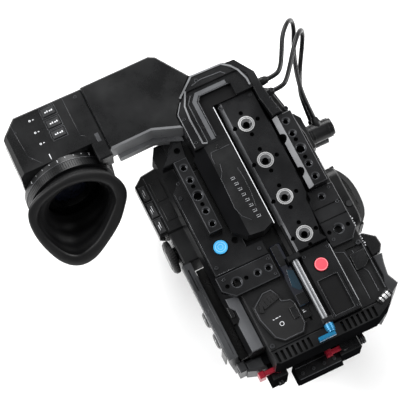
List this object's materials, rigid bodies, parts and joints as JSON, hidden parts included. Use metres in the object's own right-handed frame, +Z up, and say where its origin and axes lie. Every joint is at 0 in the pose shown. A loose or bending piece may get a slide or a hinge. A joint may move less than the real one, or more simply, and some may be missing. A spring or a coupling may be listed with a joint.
{
  "type": "cinema camera rig",
  "caption": "Cinema camera body seen as a box with a top dovetail rail, accessory bars, side viewfinder on an arm, hinged side door, hand grip and looped cables",
  "frame": {"origin": "centre of the mouth of the 3/8-16 tripod thread, on the underside of the base plate, below the lens axis", "axes": "+X to the operator's right, +Y along the lens axis towards the subject, +Z up"},
  "size_m": [0.2746, 0.282, 0.181],
  "materials": {
    "shell_plastic": "fine satin black",
    "body_paint": "fine satin black",
    "grey_paint": "satin mid grey",
    "dark_alloy": "hard anodised, satin",
    "bright_steel": "turned",
    "chrome_bar": "polished",
    "red_plastic": "gloss",
    "red_lever": "anodised crimson",
    "blue_plastic": "gloss",
    "blue_lever": "anodised blue",
    "key_plastic": "matte",
    "dark_gloss": "gloss",
    "soft_rubber": "matte",
    "cable_rubber": "satin",
    "strap_leather": "grained",
    "eye_glass": "coated",
    "screw_steel": "blackened"
  },
  "bodies": {
    "camera": {"base_plate": "dark_alloy", "body_shell": "shell_plastic", "top_cover": "body_paint", "dovetail_rail": "dark_alloy", "rail_bushings": "bright_steel", "rear_top_plate": "dark_alloy", "left_cheese_bar": "dark_alloy", "right_cheese_bar": "dark_alloy", "left_bracket": "dark_alloy", "cross_cheese_plate": "dark_alloy", "right_top_plate": "dark_alloy", "gusset_plate": "dark_alloy", "flap_cover": "soft_rubber", "status_window": "dark_gloss", "rear_bezel": "shell_plastic", "rear_plate": "shell_plastic", "accessory_wedge": "dark_alloy", "rear_clamps": "dark_alloy", "rear_corner_block": "grey_paint", "left_ledge_panel": "grey_paint", "control_panel": "shell_plastic", "lens_mount": "bright_steel", "sensor_block": "dark_gloss", "evf_mount": "dark_alloy", "evf_spine": "shell_plastic", "evf_arm": "body_paint", "connector_block": "dark_alloy", "cable_glands": "cable_rubber", "cable_1": "cable_rubber", "cable_2": "cable_rubber", "plug_1": "dark_alloy", "plug_2": "dark_alloy", "socket_plate": "shell_plastic", "rear_side_cover": "grey_paint", "side_block": "shell_plastic", "socket_screws": "screw_steel"},
    "evf": {"evf_housing": "shell_plastic", "evf_lens": "eye_glass"},
    "diopter": {"diopter_ring": "shell_plastic"},
    "cup": {"eyecup": "soft_rubber"},
    "evf_key_1": {"evf_key_1": "key_plastic"},
    "evf_key_2": {"evf_key_2": "key_plastic"},
    "evf_key_3": {"evf_key_3": "key_plastic"},
    "side_key_1": {"side_key_1": "key_plastic"},
    "side_key_2": {"side_key_2": "key_plastic"},
    "side_key_3": {"side_key_3": "key_plastic"},
    "blue": {"blue_button": "blue_plastic"},
    "red": {"red_button": "red_plastic"},
    "lock": {"lock_rod": "chrome_bar", "lock_lever": "blue_lever"},
    "lever_left": {"clamp_lever_left": "red_lever"},
    "lever_right": {"clamp_lever_right": "red_lever"},
    "door": {"side_door": "grey_paint"},
    "knob_1": {"level_knob_1": "key_plastic"},
    "knob_2": {"level_knob_2": "key_plastic"},
    "wheel": {"menu_wheel": "soft_rubber"},
    "grip": {"grip_body": "shell_plastic", "grip_strap": "strap_leather"},
    "grip_key": {"grip_button": "key_plastic"},
    "lens_ring": {"lens_lock_ring": "dark_alloy"}
  },
  "joints": [
    {"name": "evf_tilt", "type": "hinge", "parent": "camera", "child": "evf", "pos_m": [-0.107, 0.138, 0.154], "axis": [1, 0, 0], "range_deg": [-75, 35]},
    {"name": "diopter_turn", "type": "hinge", "parent": "evf", "child": "diopter", "pos_m": [-0.147, 0.1085, 0.13], "axis": [0, -0.9659, 0.2588], "range_deg": [-60, 60]},
    {"name": "eyecup_turn", "type": "hinge", "parent": "evf", "child": "cup", "pos_m": [-0.147, 0.1085, 0.13], "axis": [0, -0.9659, 0.2588], "range_deg": [-15, 15]},
    {"name": "evf_key_1_press", "type": "slide", "parent": "evf", "child": "evf_key_1", "axis": [0, 0, -1], "range_m": [0, 0.0008], "stiffness_N_per_m": 300},
    {"name": "evf_key_2_press", "type": "slide", "parent": "evf", "child": "evf_key_2", "axis": [0, 0, -1], "range_m": [0, 0.0008], "stiffness_N_per_m": 300},
    {"name": "evf_key_3_press", "type": "slide", "parent": "evf", "child": "evf_key_3", "axis": [0, 0, -1], "range_m": [0, 0.0008], "stiffness_N_per_m": 300},
    {"name": "side_key_1_press", "type": "slide", "parent": "camera", "child": "side_key_1", "axis": [0, 0, -1], "range_m": [0, 0.001], "stiffness_N_per_m": 300},
    {"name": "side_key_2_press", "type": "slide", "parent": "camera", "child": "side_key_2", "axis": [0, 0, -1], "range_m": [0, 0.001], "stiffness_N_per_m": 300},
    {"name": "side_key_3_press", "type": "slide", "parent": "camera", "child": "side_key_3", "axis": [0, 0, -1], "range_m": [0, 0.001], "stiffness_N_per_m": 300},
    {"name": "blue_press", "type": "slide", "parent": "camera", "child": "blue", "axis": [0, 0, -1], "range_m": [0, 0.001], "stiffness_N_per_m": 300},
    {"name": "red_press", "type": "slide", "parent": "camera", "child": "red", "axis": [0, 0, -1], "range_m": [0, 0.001], "stiffness_N_per_m": 300},
    {"name": "lock_turn", "type": "hinge", "parent": "camera", "child": "lock", "pos_m": [-0.0162, -0.06, 0.1532], "axis": [0, 1, 0], "range_deg": [0, 90]},
    {"name": "lever_left_turn", "type": "hinge", "parent": "camera", "child": "lever_left", "pos_m": [-0.0605, -0.099, 0.1127], "axis": [0, 0, 1], "range_deg": [0, 80]},
    {"name": "lever_right_turn", "type": "hinge", "parent": "camera", "child": "lever_right", "pos_m": [-0.005, -0.1045, 0.1047], "axis": [0, 0, 1], "range_deg": [0, 80]},
    {"name": "door_turn", "type": "hinge", "parent": "camera", "child": "door", "pos_m": [-0.0902, 0.001, 0.118], "axis": [0, 0, -1], "range_deg": [0, 90]},
    {"name": "knob_1_turn", "type": "hinge", "parent": "door", "child": "knob_1", "pos_m": [-0.092, -0.0404, 0.118], "axis": [1, 0, 0], "range_deg": [-135, 135]},
    {"name": "knob_2_turn", "type": "hinge", "parent": "door", "child": "knob_2", "pos_m": [-0.092, -0.0594, 0.118], "axis": [1, 0, 0], "range_deg": [-135, 135]},
    {"name": "wheel_turn", "type": "hinge", "parent": "camera", "child": "wheel", "pos_m": [-0.09, 0.0208, 0.11], "axis": [1, 0, 0], "continuous": true},
    {"name": "grip_turn", "type": "hinge", "parent": "camera", "child": "grip", "pos_m": [0.044, 0.003, 0.11], "axis": [1, 0, 0], "range_deg": [-60, 60]},
    {"name": "grip_press", "type": "slide", "parent": "grip", "child": "grip_key", "axis": [0, 0, -1], "range_m": [0, 0.0008], "stiffness_N_per_m": 300},
    {"name": "lens_ring_turn", "type": "hinge", "parent": "camera", "child": "lens_ring", "pos_m": [0, 0.112, 0.084], "axis": [0, 1, 0], "range_deg": [0, 40]}
  ]
}
